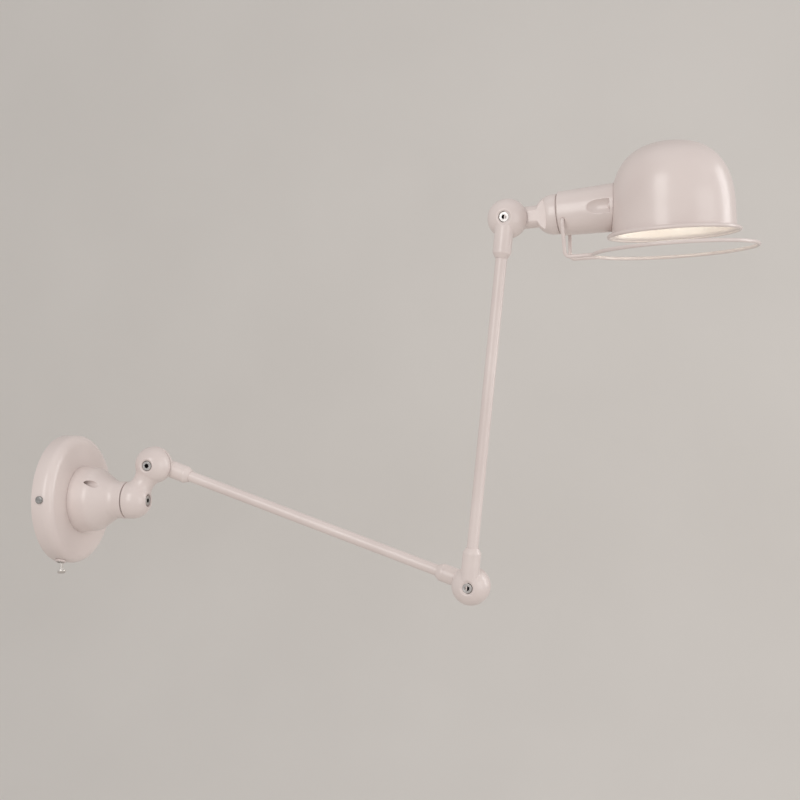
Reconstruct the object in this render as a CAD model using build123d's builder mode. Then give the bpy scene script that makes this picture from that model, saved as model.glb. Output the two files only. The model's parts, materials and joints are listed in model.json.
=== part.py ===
from build123d import *
from math import asin, cos, radians, sin, sqrt
import os

# Articulating wall light: wall canopy, bell, two tube arms on split ball joints, domed shade and wire guard.
# Millimetres and degrees. X points out of the wall, Z up, and the origin is the middle of the canopy's back.

# Rest pose
arm_length = 320.0
lower_arm_angle = -18.5
upper_arm_angle = 83.9
head_pitch = 4.5

# Fits
running_clearance = 0.05
seat_clearance = 0.05
inner_clearance = 0.5

# Wall canopy and its bracket
canopy_radius = 60.0
canopy_depth = 19.0
canopy_wall = 1.2
canopy_edge_radius = 9.0
canopy_turn_angle = 4.5
wire_hole_radius = 13.0
bracket_width = 20.0
bracket_thickness = 1.5
bracket_bend_radius = 3.0
bracket_tab_height = 13.0
bracket_rim_gap = 1.0
wall_slot_spacing = 70.0
wall_slot_length = 14.0
wall_slot_width = 5.0
cable_hole_radius = 6.0
side_screw_radius = 2.0
side_screw_length = 9.0
side_screw_height = 8.8
screw_head_ratio = 1.75
screw_head_height_ratio = 1.1
terminal_length = 20.0
terminal_width = 14.0
terminal_height = 12.5
terminal_way_radius = 1.6
terminal_ways = 3

# Bell on the canopy
cone_base_radius = 31.0
cone_shoulder_radius = 29.2
cone_shoulder_reach = 18.0
cone_shoulder_blend = 16.0
cone_neck_reach = 35.0
cone_neck_blend = 12.0
cone_length = 46.2
cone_wall = 3.0
cone_end_wall = 6.0
cone_well_radius = 3.2
cone_well_circle = 26.4
cone_well_floor = 3.5
cone_well_angle = 38.0
cone_screw_radius = 1.5
cone_screw_length = 8.0
cone_nut_flats = 5.5
cone_nut_height = 2.4

# Split ball joints
ball_radius = 17.25
washer_thickness = 1.2
washer_inset = 1.6
rim_width = 5.2
cavity_depth = 7.4
boss_radius = 5.5
boss_relief = 0.3
recess_radius = 4.75
recess_dish_radius = 6.3
recess_dish_level = 14.9
recess_floor = 12.0
stub_radius = 8.0
stub_side_gap = 0.7
stub_reach = 28.0
collar_length = 6.6
collar_straight = 2.4
collar_tube_lip = 0.6
tube_radius = 5.0
tube_wall = 1.0
tube_seat = 14.0
wire_bore_start = 8.5
flex_radius = 2.6
bolt_radius = 2.5
bolt_head_radius = 4.4
bolt_head_height = 3.2
bolt_head_edge = 0.5
bolt_socket_flats = 4.0
bolt_socket_depth = 2.4
bolt_tail = 0.2
spring_washer_thickness = 1.2
spring_washer_radius = 4.6
nut_flats = 8.0
nut_height = 3.2

# Base knuckle
dome_skirt = 4.5
shoulder_forward = 17.3
shoulder_height = 32.7
neck_waist = 10.0
neck_sink = 0.1

# Head knuckle and lamp housing
head_neck_radius = 9.6
head_split_reach = 43.5
head_dome_skirt = 3.5
housing_length = 43.7
housing_start_radius = 18.9
housing_end_radius = 20.5
housing_bore_radius = 12.6
housing_end_wall = 4.0
housing_edge = 0.8
housing_well_radius = 9.0
housing_well_circle = 24.8
housing_well_reach = 30.0
housing_well_lean_angle = 12.0
housing_well_floor = 2.2
shade_screw_radius = 1.25
shade_screw_circle = 18.2
shade_screw_length = 9.0
nipple_radius = 5.0
nipple_bore = 3.5
nipple_back = 15.0
nipple_thread = 8.0
lock_nut_flats = 14.0
lock_nut_height = 3.0
lock_washer_radius = 8.5

# Shade
shade_radius = 51.3
shade_height = 78.6
shade_wall = 1.0
shade_axis_height = 29.0
shade_nod_angle = 1.8
shade_dome_height = 58.0
shade_crown_ratio = 0.83
shade_side_ratio = 0.49
shade_ease_ratio = 0.55
shade_lip_width = 4.4
shade_bead_radius = 1.3
shade_ring_depth = 8.0
shade_hole_radius = 14.5

# Lampholder and bulb
holder_radius = 12.2
holder_proud = 6.2
holder_bore_radius = 8.2
holder_bore_depth = 24.0
holder_groove_depth = 0.7
sleeve_wall = 0.8
sleeve_length = 20.0
contact_radius = 4.0
contact_thickness = 1.2
bulb_cap_length = 20.5
bulb_cap_wall = 0.6
bulb_tip_radius = 3.0
bulb_radius = 22.5
bulb_centre_reach = 31.5
bulb_wall = 0.8
bulb_neck_length = 4.0
bulb_blend_angle = 37.0

# Wire guard
guard_wire_radius = 1.6
guard_hook_reach = 5.0
guard_hook_drop = 7.4
guard_hook_depth = 4.5
guard_leg_spread = 21.2
guard_run_spread = 13.5
guard_drop = 38.5
guard_ring_gap = 12.3
guard_hook_bend = 2.6
guard_foot_bend = 4.5
guard_ring_bend = 6.0

# Toggle switch in the canopy rim
switch_reach = 8.0
switch_angle = 23.5
switch_body_length = 13.0
switch_body_width = 10.0
switch_body_depth = 16.0
switch_body_edge = 1.0
switch_rim_gap = 1.0
bushing_radius = 3.5
bushing_rise = 0.4
bushing_bore = 2.1
bushing_mouth = 2.9
switch_nut_flats = 9.0
switch_nut_height = 1.6
dress_nut_radius = 5.0
lever_pivot_depth = 3.0
lever_root_radius = 1.2
lever_tip_radius = 1.6
lever_reach = 10.2
lever_lean = 14.0
lever_disc_radius = 3.8
lever_disc_thickness = 1.8

# Places that follow from the sizes
cone_end = canopy_depth + cone_length
base_split = cone_end + washer_thickness / 2
half_gap = washer_thickness / 2
dome_centre = base_split + half_gap + dome_skirt
stub_offset = stub_radius + stub_side_gap + half_gap / 2
cavity_radius = ball_radius - rim_width
shoulder = (dome_centre + shoulder_forward, stub_offset, shoulder_height)
lower_frame = Location(shoulder, (0, -lower_arm_angle, 0))
elbow_x = shoulder[0] + arm_length * cos(radians(lower_arm_angle))
elbow_z = shoulder[2] + arm_length * sin(radians(lower_arm_angle))
upper_frame = Location((elbow_x, stub_offset, elbow_z), (0, -upper_arm_angle, 0))
wrist_x = elbow_x + arm_length * cos(radians(upper_arm_angle))
wrist_z = elbow_z + arm_length * sin(radians(upper_arm_angle))
head_frame = Location((wrist_x, 2 * stub_offset, wrist_z), (0, -head_pitch, 0))
wrist_frame = Location((wrist_x, stub_offset, wrist_z), (0, -head_pitch, 0))
base_frame = Location((0, 0, 0))
far_end = Location((arm_length, 0, 0), (0, 180, 0))
front_side = Location((0, 0, 0), (180, 0, 0))
housing_face = head_split_reach + half_gap
shade_reach = housing_face + housing_length + shade_radius
holder_mouth = housing_face + housing_length + holder_proud
guard_ring_radius = shade_radius + shade_lip_width + guard_ring_gap

os.makedirs("parts", exist_ok=True)


def place(name, piece, frame=base_frame):
    """Set a finished piece in its assembly frame, label it and write its file."""
    placed = piece.moved(frame)
    placed.label = name
    export_step(placed, f"parts/{name}.step")


def radial_plane(x, angle):
    """A plane on the bell's axis. Its normal points outwards, at an angle from straight down to the front."""
    outward = (0, -sin(radians(angle)), -cos(radians(angle)))
    return Plane(origin=(x, 0, 0), x_dir=(1, 0, 0), z_dir=outward)


def joint_bolt(length):
    """Socket head bolt on Z: the underside of its head at zero, its shank up the axis."""
    with BuildPart() as bolt:
        Cylinder(bolt_head_radius, bolt_head_height, align=(Align.CENTER, Align.CENTER, Align.MAX))
        fillet(bolt.edges().group_by(Axis.Z)[0], bolt_head_edge)
        Cylinder(bolt_radius, length, align=(Align.CENTER, Align.CENTER, Align.MIN))
        with BuildSketch(Plane.XY.offset(-bolt_head_height)):
            RegularPolygon(bolt_socket_flats / 2, 6, major_radius=False)
        extrude(amount=bolt_socket_depth, mode=Mode.SUBTRACT)
    return bolt.part


def ring(outer, inner, thickness):
    """Flat ring on Z, its lower face at zero."""
    with BuildPart() as washer:
        with BuildSketch():
            Circle(outer)
            Circle(inner, mode=Mode.SUBTRACT)
        extrude(amount=thickness)
    return washer.part


def hex_nut(flats, hole, height):
    """Hexagon nut on Z, its lower face at zero."""
    with BuildPart() as nut:
        with BuildSketch():
            RegularPolygon(flats / 2, 6, major_radius=False)
            Circle(hole, mode=Mode.SUBTRACT)
        extrude(amount=height)
    return nut.part


def pan_screw(radius, length, slot):
    """Round head screw on Z: the underside of its head at zero, its shank down the axis."""
    head = radius * screw_head_ratio
    head_height = radius * screw_head_height_ratio
    with BuildPart() as screw:
        Cylinder(head, head_height, align=(Align.CENTER, Align.CENTER, Align.MIN))
        fillet(screw.edges().group_by(Axis.Z)[-1], radius / 2)
        with BuildSketch(Plane.XY.offset(head_height)):
            Rectangle(head * 2, slot)
        extrude(amount=-radius / 2, mode=Mode.SUBTRACT)
        Cylinder(radius, length, align=(Align.CENTER, Align.CENTER, Align.MAX))
    return screw.part


pole_level = sqrt(ball_radius**2 - recess_dish_radius**2)
dish_slope = (recess_dish_radius - recess_radius) / (pole_level - recess_dish_level)
recess_outline = [
    (0, recess_floor),
    (recess_radius, recess_floor),
    (recess_radius, recess_dish_level),
    (recess_radius + (ball_radius - recess_dish_level) * dish_slope, ball_radius),
    (0, ball_radius),
]


def ball_half_cuts():
    """What is cut from every ball half: its cavity, pivot hole and the recess at its pole. The pivot is Z."""
    with BuildPart() as cuts:
        with BuildSketch(Plane.XZ):
            Polygon(*recess_outline, align=None)
            with Locations(((boss_radius + cavity_radius) / 2, cavity_depth / 2)):
                Rectangle(cavity_radius - boss_radius, cavity_depth)
            with Locations((boss_radius / 2, (half_gap + boss_relief) / 2)):
                Rectangle(boss_radius, half_gap + boss_relief)
            with Locations(((bolt_radius + running_clearance) / 2, ball_radius / 2)):
                Rectangle(bolt_radius + running_clearance, ball_radius)
        revolve(axis=Axis.Z)
    return cuts.part


def ball_half():
    """Solid half ball above its split face. The pivot is Z."""
    with BuildPart() as half:
        with BuildSketch(Plane.XZ):
            Circle(ball_radius)
            with Locations((-ball_radius, 0)):
                Rectangle(2 * ball_radius, 2 * ball_radius, mode=Mode.SUBTRACT)
            with Locations((0, half_gap - ball_radius)):
                Rectangle(2 * ball_radius, 2 * ball_radius, mode=Mode.SUBTRACT)
        revolve(axis=Axis.Z)
    return half.part


pivot_to_rear = Location((0, 0, 0), (-90, 0, 0))
half_solid = ball_half().moved(pivot_to_rear)
half_cuts = ball_half_cuts().moved(pivot_to_rear)

# Arm end: half ball on the +Y side of its split plane, with a stub along +X that takes the tube.
stub_plane = Plane(origin=(0, stub_offset, 0), x_dir=(0, 1, 0), z_dir=(1, 0, 0))
with BuildPart() as arm_end:
    add(half_solid)
    with BuildSketch(stub_plane):
        Circle(stub_radius)
    extrude(amount=stub_reach)
    add(half_cuts, mode=Mode.SUBTRACT)
    with BuildSketch(stub_plane.offset(stub_reach - tube_seat)):
        Circle(tube_radius + seat_clearance)
    extrude(amount=tube_seat, mode=Mode.SUBTRACT)
    with BuildSketch(stub_plane.offset(wire_bore_start)):
        Circle(tube_radius - tube_wall)
    extrude(amount=stub_reach - wire_bore_start, mode=Mode.SUBTRACT)

place("shoulder_half", arm_end.part, lower_frame)
place("elbow_rear_half", arm_end.part, lower_frame * far_end)
place("elbow_front_half", arm_end.part, upper_frame * front_side)
place("wrist_front_half", arm_end.part, upper_frame * far_end * front_side)

# Tube, its two chamfered collars and the flex inside it, the same on both arms.
tube_plane = stub_plane.offset(stub_reach - tube_seat)
tube_length = arm_length - 2 * (stub_reach - tube_seat)
with BuildPart() as tube:
    with BuildSketch(tube_plane):
        Circle(tube_radius)
        Circle(tube_radius - tube_wall, mode=Mode.SUBTRACT)
    extrude(amount=tube_length)

with BuildPart() as collar:
    with BuildSketch(Plane.XY):
        inner = tube_radius + seat_clearance
        Polygon(
            (stub_reach, inner),
            (stub_reach, stub_radius),
            (stub_reach + collar_straight, stub_radius),
            (stub_reach + collar_length, inner + collar_tube_lip),
            (stub_reach + collar_length, inner),
            align=None,
        )
    revolve(axis=Axis.X)
collar_seat = Location((0, stub_offset, 0))
collars = Compound(children=[collar.part.moved(collar_seat), collar.part.moved(far_end * collar_seat)])

flex_drop = tube_radius - tube_wall - flex_radius - seat_clearance
flex_plane = stub_plane.offset(wire_bore_start)
with BuildPart() as flex:
    with BuildSketch(flex_plane):
        with Locations((0, -flex_drop)):
            Circle(flex_radius)
    extrude(amount=arm_length - 2 * wire_bore_start)

for arm, frame in (("lower", lower_frame), ("upper", upper_frame * front_side)):
    place(f"{arm}_tube", tube.part, frame)
    place(f"{arm}_collars", collars, frame)
    place(f"{arm}_flex", flex.part, frame)

# Pivot hardware of the three ball joints: bolt head in the front pole, spring washer and nut in the rear one.
bolt_grip = 2 * recess_floor + spring_washer_thickness + nut_height + seat_clearance + bolt_tail
pivot_bolt = joint_bolt(bolt_grip)
friction_ring = ring(ball_radius - washer_inset, cavity_radius, washer_thickness - running_clearance)
spring_washer = ring(spring_washer_radius, bolt_radius + seat_clearance, spring_washer_thickness)
pivot_nut = hex_nut(nut_flats, bolt_radius + seat_clearance, nut_height)
for joint, frame in (
    ("shoulder", lower_frame),
    ("elbow", upper_frame),
    ("wrist", wrist_frame),
):
    pivot = frame * pivot_to_rear
    rear_seat = recess_floor + running_clearance
    place(f"{joint}_bolt", pivot_bolt, pivot * Location((0, 0, -recess_floor)))
    place(f"{joint}_washer", friction_ring, pivot * Location((0, 0, -half_gap)))
    place(f"{joint}_spring_washer", spring_washer, pivot * Location((0, 0, rear_seat)))
    place(f"{joint}_nut", pivot_nut, pivot * Location((0, 0, rear_seat + spring_washer_thickness)))

# Base knuckle: swivel dome on X, front half of the shoulder ball, and a waisted neck blended into both.
front_half_frame = Location(shoulder) * front_side
neck_line = Vector(shoulder_forward, stub_offset, shoulder_height)
neck_middle = neck_line.length / 2
neck_ball = ball_radius - neck_sink
neck_blend = (neck_waist**2 + neck_middle**2 - neck_ball**2) / (2 * (neck_ball - neck_waist))
neck_share = neck_ball / (neck_ball + neck_blend)
neck_start = neck_middle * neck_share
neck_end = neck_line.length - neck_start
neck_edge = (neck_waist + neck_blend) * neck_share
neck_plane = Plane(
    origin=(dome_centre, 0, 0),
    x_dir=neck_line,
    z_dir=(-shoulder_height, 0, shoulder_forward),
)
with BuildPart() as neck:
    with BuildSketch(neck_plane):
        with BuildLine():
            Polyline((neck_start, neck_edge), (neck_start, 0), (neck_end, 0), (neck_end, neck_edge))
            ThreePointArc((neck_end, neck_edge), (neck_middle, neck_waist), (neck_start, neck_edge))
        make_face()
    revolve(axis=Axis(neck_plane.origin, neck_plane.x_dir))
    split(bisect_by=Plane.XZ.offset(half_gap - stub_offset), keep=Keep.TOP)

with BuildPart() as base_knuckle:
    with BuildSketch(Plane.XY):
        with BuildLine():
            Polyline(
                (dome_centre, 0),
                (base_split + half_gap, 0),
                (base_split + half_gap, ball_radius),
                (dome_centre, ball_radius),
            )
            RadiusArc((dome_centre, ball_radius), (dome_centre + ball_radius, 0), ball_radius)
            Line((dome_centre + ball_radius, 0), (dome_centre, 0))
        make_face()
    revolve(axis=Axis.X)
    add(neck.part)
    split(bisect_by=Plane.YZ.offset(base_split + half_gap), keep=Keep.TOP)
    add(half_solid.moved(front_half_frame))
    add(half_cuts.moved(front_half_frame), mode=Mode.SUBTRACT)
    with BuildSketch(Plane.XZ):
        with Locations((dome_centre, 0)):
            Polygon(*[(level, radius) for radius, level in recess_outline], align=None)
            with Locations(((cavity_depth - dome_skirt) / 2, (boss_radius + cavity_radius) / 2)):
                Rectangle(cavity_depth + dome_skirt, cavity_radius - boss_radius)
            with Locations((ball_radius / 2 - dome_skirt, (bolt_radius + seat_clearance) / 2)):
                Rectangle(ball_radius + 2 * dome_skirt, bolt_radius + seat_clearance)
    revolve(axis=Axis.X, mode=Mode.SUBTRACT)
    wire_line = Vector(shoulder_forward, 0, shoulder_height)
    wire_start = cavity_radius - flex_radius
    wire_origin = Vector(dome_centre, stub_offset / 4, 0) + wire_line.normalized() * wire_start
    with BuildSketch(Plane(origin=wire_origin, z_dir=wire_line)):
        Circle(flex_radius + inner_clearance)
    extrude(amount=wire_line.length - 2 * wire_start, mode=Mode.SUBTRACT)
place("base_knuckle", base_knuckle.part)

# Swivel bolt of the base: head in the dome's pole, through the end wall of the bell.
base_bolt_grip = recess_floor + dome_skirt + washer_thickness + cone_end_wall
nut_stack = spring_washer_thickness + nut_height + running_clearance
pole_to_wall = Location((dome_centre + recess_floor, 0, 0), (0, -90, 0))
place("base_bolt", joint_bolt(base_bolt_grip + nut_stack + bolt_tail), pole_to_wall)
base_nut_seat = base_bolt_grip + running_clearance
place("base_spring_washer", spring_washer, pole_to_wall * Location((0, 0, base_nut_seat)))
place("base_nut", pivot_nut, pole_to_wall * Location((0, 0, base_nut_seat + spring_washer_thickness)))
place("base_washer", friction_ring, Location((cone_end, 0, 0), (0, 90, 0)))

# Canopy: spun cup, open to the wall, with a rounded front edge.
cone_wells = [cone_well_angle, cone_well_angle + 180]
well_points = [
    (-cone_well_circle * cos(radians(a)), cone_well_circle * sin(radians(a))) for a in cone_wells
]
canopy_inner = canopy_radius - canopy_wall
inner_edge = canopy_edge_radius - canopy_wall
with BuildPart() as canopy:
    with BuildSketch(Plane.XY):
        with BuildLine():
            FilletPolyline(
                (0, canopy_radius),
                (canopy_depth, canopy_radius),
                (canopy_depth, wire_hole_radius),
                radius=canopy_edge_radius,
            )
            Line((canopy_depth, wire_hole_radius), (canopy_depth - canopy_wall, wire_hole_radius))
            FilletPolyline(
                (canopy_depth - canopy_wall, wire_hole_radius),
                (canopy_depth - canopy_wall, canopy_inner),
                (0, canopy_inner),
                radius=inner_edge,
            )
            Line((0, canopy_inner), (0, canopy_radius))
        make_face()
    revolve(axis=Axis.X)
    with BuildSketch(Plane.YZ.offset(canopy_depth)):
        with Locations(*well_points):
            Circle(cone_screw_radius + seat_clearance)
    extrude(amount=-canopy_wall, mode=Mode.SUBTRACT)
    for turn in (canopy_turn_angle, canopy_turn_angle + 180):
        with BuildSketch(radial_plane(side_screw_height, 90 + turn)):
            Circle(side_screw_radius + seat_clearance)
        extrude(amount=canopy_radius + canopy_wall, mode=Mode.SUBTRACT)
    with BuildSketch(radial_plane(switch_reach, switch_angle)):
        Circle(bushing_radius + seat_clearance)
    extrude(amount=canopy_radius + canopy_wall, mode=Mode.SUBTRACT)
place("wall_canopy", canopy.part)

# Wall bracket: strap along Y with its ends bent out into tabs for the side screws.
tab_face = sqrt(canopy_inner**2 - (bracket_width / 2) ** 2) - bracket_rim_gap
with BuildPart() as bracket:
    with BuildSketch(Plane.XY):
        with BuildLine():
            FilletPolyline(
                (bracket_tab_height, -tab_face),
                (0, -tab_face),
                (0, tab_face),
                (bracket_tab_height, tab_face),
                radius=bracket_bend_radius,
            )
            offset(amount=-bracket_thickness, side=Side.RIGHT)
        make_face()
    extrude(amount=bracket_width / 2, both=True)
    with BuildSketch(Plane.YZ):
        Circle(cable_hole_radius)
        with Locations((-wall_slot_spacing / 2, 0), (wall_slot_spacing / 2, 0)):
            SlotOverall(wall_slot_length, wall_slot_width)
    extrude(amount=bracket_thickness, mode=Mode.SUBTRACT)
    for turn in (canopy_turn_angle, canopy_turn_angle + 180):
        with BuildSketch(radial_plane(side_screw_height, 90 + turn)):
            Circle(side_screw_radius + seat_clearance)
        extrude(amount=canopy_radius, mode=Mode.SUBTRACT)
place("wall_bracket", bracket.part)

side_screw = pan_screw(side_screw_radius, side_screw_length, side_screw_radius / 2)
side_screws = [
    side_screw.moved(
        radial_plane(side_screw_height, 90 + turn).location * Location((0, 0, canopy_radius + seat_clearance))
    )
    for turn in (canopy_turn_angle, canopy_turn_angle + 180)
]
place("canopy_screws", Compound(children=side_screws))

# Terminal block on the strap, between the cable hole and one slot.
terminal_y = (cable_hole_radius + wall_slot_spacing / 2 - wall_slot_length / 2) / 2
with BuildPart() as terminal_block:
    with BuildSketch(Plane.YZ.offset(bracket_thickness)):
        with Locations((terminal_y, 0)):
            RectangleRounded(terminal_width, terminal_length, terminal_way_radius)
    extrude(amount=terminal_height)
    with Locations(Plane.YZ.offset(bracket_thickness + terminal_height)):
        with Locations((terminal_y, 0)):
            with GridLocations(terminal_width, terminal_length / terminal_ways, 1, terminal_ways):
                Hole(terminal_way_radius, terminal_height / 2)
place("terminal_block", terminal_block.part)

# Bell: cast shell with a thick end wall for the swivel, and two wells for its fixing screws.
bell_end = cone_end - cone_end_wall
with BuildPart() as bell_outer:
    with BuildSketch(Plane.XY):
        with BuildLine():
            FilletPolyline(
                (canopy_depth, cone_base_radius),
                (canopy_depth + cone_shoulder_reach, cone_shoulder_radius),
                (canopy_depth + cone_neck_reach, ball_radius),
                (cone_end, ball_radius),
                radius=[cone_shoulder_blend, cone_neck_blend],
            )
            Polyline(
                (cone_end, ball_radius), (cone_end, 0), (canopy_depth, 0), (canopy_depth, cone_base_radius)
            )
        make_face()
    revolve(axis=Axis.X)

with BuildPart() as well_bosses:
    add(bell_outer.part)
    with BuildSketch(Plane.YZ.offset(canopy_depth)):
        with Locations(*well_points):
            Circle(cone_well_radius + cone_wall)
    extrude(amount=cone_length, mode=Mode.INTERSECT)

with BuildPart() as bell_cone:
    add(bell_outer.part)
    with BuildSketch(Plane.XY):
        with BuildLine():
            FilletPolyline(
                (canopy_depth, cone_base_radius - cone_wall),
                (canopy_depth + cone_shoulder_reach, cone_shoulder_radius - cone_wall),
                (canopy_depth + cone_neck_reach, ball_radius - cone_wall),
                (bell_end, ball_radius - cone_wall),
                radius=[cone_shoulder_blend - cone_wall, cone_neck_blend],
            )
            Polyline(
                (bell_end, ball_radius - cone_wall),
                (bell_end, 0),
                (canopy_depth, 0),
                (canopy_depth, cone_base_radius - cone_wall),
            )
        make_face()
    revolve(axis=Axis.X, mode=Mode.SUBTRACT)
    add(well_bosses.part)
    with BuildSketch(Plane.YZ.offset(canopy_depth + cone_well_floor)):
        with Locations(*well_points):
            Circle(cone_well_radius)
    extrude(amount=cone_length, mode=Mode.SUBTRACT)
    with BuildSketch(Plane.YZ.offset(canopy_depth)):
        with Locations(*well_points):
            Circle(cone_screw_radius + seat_clearance)
    extrude(amount=cone_well_floor, mode=Mode.SUBTRACT)
    with BuildSketch(Plane.YZ.offset(cone_end)):
        Circle(bolt_radius + running_clearance)
        with Locations((0, -(boss_radius + cavity_radius) / 2)):
            Circle(flex_radius + seat_clearance)
    extrude(amount=-cone_end_wall, mode=Mode.SUBTRACT)
place("bell_cone", bell_cone.part)

well_floor_x = canopy_depth + cone_well_floor
cone_screw = pan_screw(cone_screw_radius, cone_screw_length, cone_screw_radius / 2)
cone_nut = hex_nut(cone_nut_flats, cone_screw_radius + seat_clearance, cone_nut_height)
screw_out = [Location((well_floor_x, y, z), (0, 90, 0)) for y, z in well_points]
nut_seats = [
    Location((canopy_depth - canopy_wall - cone_nut_height, y, z), (0, 90, 0)) for y, z in well_points
]
place("cone_screws", Compound(children=[cone_screw.moved(seat) for seat in screw_out]))
place("cone_nuts", Compound(children=[cone_nut.moved(seat) for seat in nut_seats]))

with BuildPart() as base_flex:
    with BuildSketch(Plane.YZ.offset(canopy_depth - canopy_wall)):
        with Locations((0, -(boss_radius + cavity_radius) / 2)):
            Circle(flex_radius)
    extrude(amount=cone_length + canopy_wall)
place("base_flex", base_flex.part)

# Toggle switch: body and nut behind the rim, bushing through it, round nut outside and a flat-ended lever.
switch_plane = radial_plane(switch_reach, switch_angle)
back_nut_face = canopy_inner - switch_rim_gap
switch_shoulder = back_nut_face - switch_nut_height
bushing_end = canopy_radius + seat_clearance + switch_nut_height + bushing_rise
lever_pivot = canopy_radius - lever_pivot_depth
with BuildPart() as switch_body:
    with BuildSketch(switch_plane.offset(switch_shoulder - switch_body_depth)):
        RectangleRounded(switch_body_length, switch_body_width, switch_body_edge)
    extrude(amount=switch_body_depth)
    with BuildSketch(switch_plane.offset(switch_shoulder)):
        Circle(bushing_radius)
    extrude(amount=bushing_end - switch_shoulder)
    with BuildSketch(switch_plane.offset(lever_pivot)):
        Circle(bushing_bore)
    with BuildSketch(switch_plane.offset(bushing_end)):
        Circle(bushing_mouth)
    loft(mode=Mode.SUBTRACT)
    with BuildSketch(switch_plane.offset(lever_pivot)):
        Circle(bushing_bore)
    extrude(amount=-bushing_bore, mode=Mode.SUBTRACT)
place("switch_body", switch_body.part)

switch_nut = hex_nut(switch_nut_flats, bushing_radius + seat_clearance, switch_nut_height)
place("switch_nut", switch_nut, switch_plane.location * Location((0, 0, switch_shoulder)))
with BuildPart() as dress_nut:
    add(ring(dress_nut_radius, bushing_radius + seat_clearance, switch_nut_height))
    fillet(dress_nut.edges().group_by(Axis.Z)[-1].sort_by(SortBy.RADIUS)[-1], switch_nut_height / 2)
rim_seat = Location((0, 0, canopy_radius + seat_clearance))
place("switch_dress_nut", dress_nut.part, switch_plane.location * rim_seat)

lever_length = lever_pivot_depth + lever_reach
with BuildPart() as switch_lever:
    Sphere(bushing_bore - 2 * running_clearance)
    with BuildSketch():
        Circle(lever_root_radius)
    with BuildSketch(Plane.XY.offset(lever_length)):
        Circle(lever_tip_radius)
    loft()
    with BuildSketch(Plane.XY.offset(lever_length)):
        Circle(lever_disc_radius)
    extrude(amount=lever_disc_thickness)
    fillet(switch_lever.edges().group_by(Axis.Z)[-1], lever_disc_thickness / 3)
lever_rest = switch_plane.location * Location((0, 0, lever_pivot), (0, lever_lean, 0))
place("switch_lever", switch_lever.part, lever_rest)

# Head knuckle: rear half of the wrist ball, an axial neck and a skirted dome. The housing's axis is X.
dome_face = head_split_reach - half_gap
rear_half_frame = Location((0, -stub_offset, 0))
with BuildPart() as head_knuckle:
    with BuildSketch(Plane.XY):
        with BuildLine():
            dome_middle = dome_face - head_dome_skirt
            dome_start = dome_middle - sqrt(ball_radius**2 - head_neck_radius**2)
            Polyline(
                (0, head_neck_radius),
                (0, 0),
                (dome_face, 0),
                (dome_face, ball_radius),
                (dome_middle, ball_radius),
            )
            RadiusArc((dome_middle, ball_radius), (dome_start, head_neck_radius), -ball_radius)
            Line((dome_start, head_neck_radius), (0, head_neck_radius))
        make_face()
    revolve(axis=Axis.X)
    with BuildSketch(Plane.XZ.offset(stub_offset - half_gap)):
        Circle(2 * ball_radius)
    extrude(amount=ball_radius, mode=Mode.SUBTRACT)
    add(half_solid.moved(rear_half_frame))
    add(half_cuts.moved(rear_half_frame), mode=Mode.SUBTRACT)
    with BuildSketch(Plane.YZ.offset(dome_face)):
        Circle(nipple_radius + seat_clearance)
    extrude(amount=-nipple_back, mode=Mode.SUBTRACT)
    with BuildSketch(Plane.YZ.offset(wire_bore_start)):
        Circle(nipple_bore)
    extrude(amount=dome_face - wire_bore_start, mode=Mode.SUBTRACT)
place("head_knuckle", head_knuckle.part, head_frame)

# Swivel stack of the head: hollow nipple fixed in the dome, spring washer and lock nut inside the housing.
lock_seat = housing_face + housing_end_wall + running_clearance
holder_back = lock_seat + spring_washer_thickness + lock_nut_height
along_head = head_frame * Location((0, 0, 0), (0, 90, 0))
nipple_start = dome_face - nipple_back
nipple_length = holder_back + nipple_thread - nipple_start
lock_washer = ring(lock_washer_radius, nipple_radius + seat_clearance, spring_washer_thickness)
lock_nut = hex_nut(lock_nut_flats, nipple_radius + seat_clearance, lock_nut_height)
place("head_washer", friction_ring, along_head * Location((0, 0, dome_face)))
nipple = ring(nipple_radius, nipple_bore, nipple_length)
place("lamp_nipple", nipple, along_head * Location((0, 0, nipple_start)))
place("head_spring_washer", lock_washer, along_head * Location((0, 0, lock_seat)))
place("head_lock_nut", lock_nut, along_head * Location((0, 0, lock_seat + spring_washer_thickness)))

# Lampholder on the nipple, with its thread sleeve and centre contact.
with BuildPart() as lampholder:
    with BuildSketch(Plane.YZ.offset(holder_back)):
        Circle(holder_radius)
    extrude(amount=holder_mouth - holder_back)
    chamfer(lampholder.edges().group_by(Axis.X)[0], holder_radius / 6)
    with BuildSketch(Plane.YZ.offset(holder_mouth)):
        Circle(holder_bore_radius)
    extrude(amount=-holder_bore_depth, mode=Mode.SUBTRACT)
    with BuildSketch(Plane.YZ.offset(holder_back)):
        Circle(nipple_radius + seat_clearance)
    extrude(amount=nipple_thread + seat_clearance, mode=Mode.SUBTRACT)
    with BuildSketch(Plane.YZ.offset(holder_back)):
        Circle(nipple_bore)
    extrude(amount=holder_mouth - holder_back - holder_bore_depth, mode=Mode.SUBTRACT)
    with BuildSketch(Plane.YZ.offset(holder_mouth - holder_bore_depth)):
        Circle(holder_radius)
        Circle(holder_radius - holder_groove_depth, mode=Mode.SUBTRACT)
    extrude(amount=2 * holder_groove_depth, mode=Mode.SUBTRACT)
place("lampholder", lampholder.part, head_frame)

sleeve_outer = holder_bore_radius - seat_clearance
sleeve_inner = sleeve_outer - sleeve_wall
contact_start = holder_mouth - holder_bore_depth
sleeve = ring(sleeve_outer, sleeve_inner, sleeve_length)
place("lampholder_sleeve", sleeve, along_head * Location((0, 0, holder_mouth - sleeve_length)))
contact = ring(contact_radius, bulb_tip_radius / 3, contact_thickness)
place("lampholder_contact", contact, along_head * Location((0, 0, contact_start)))

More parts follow.
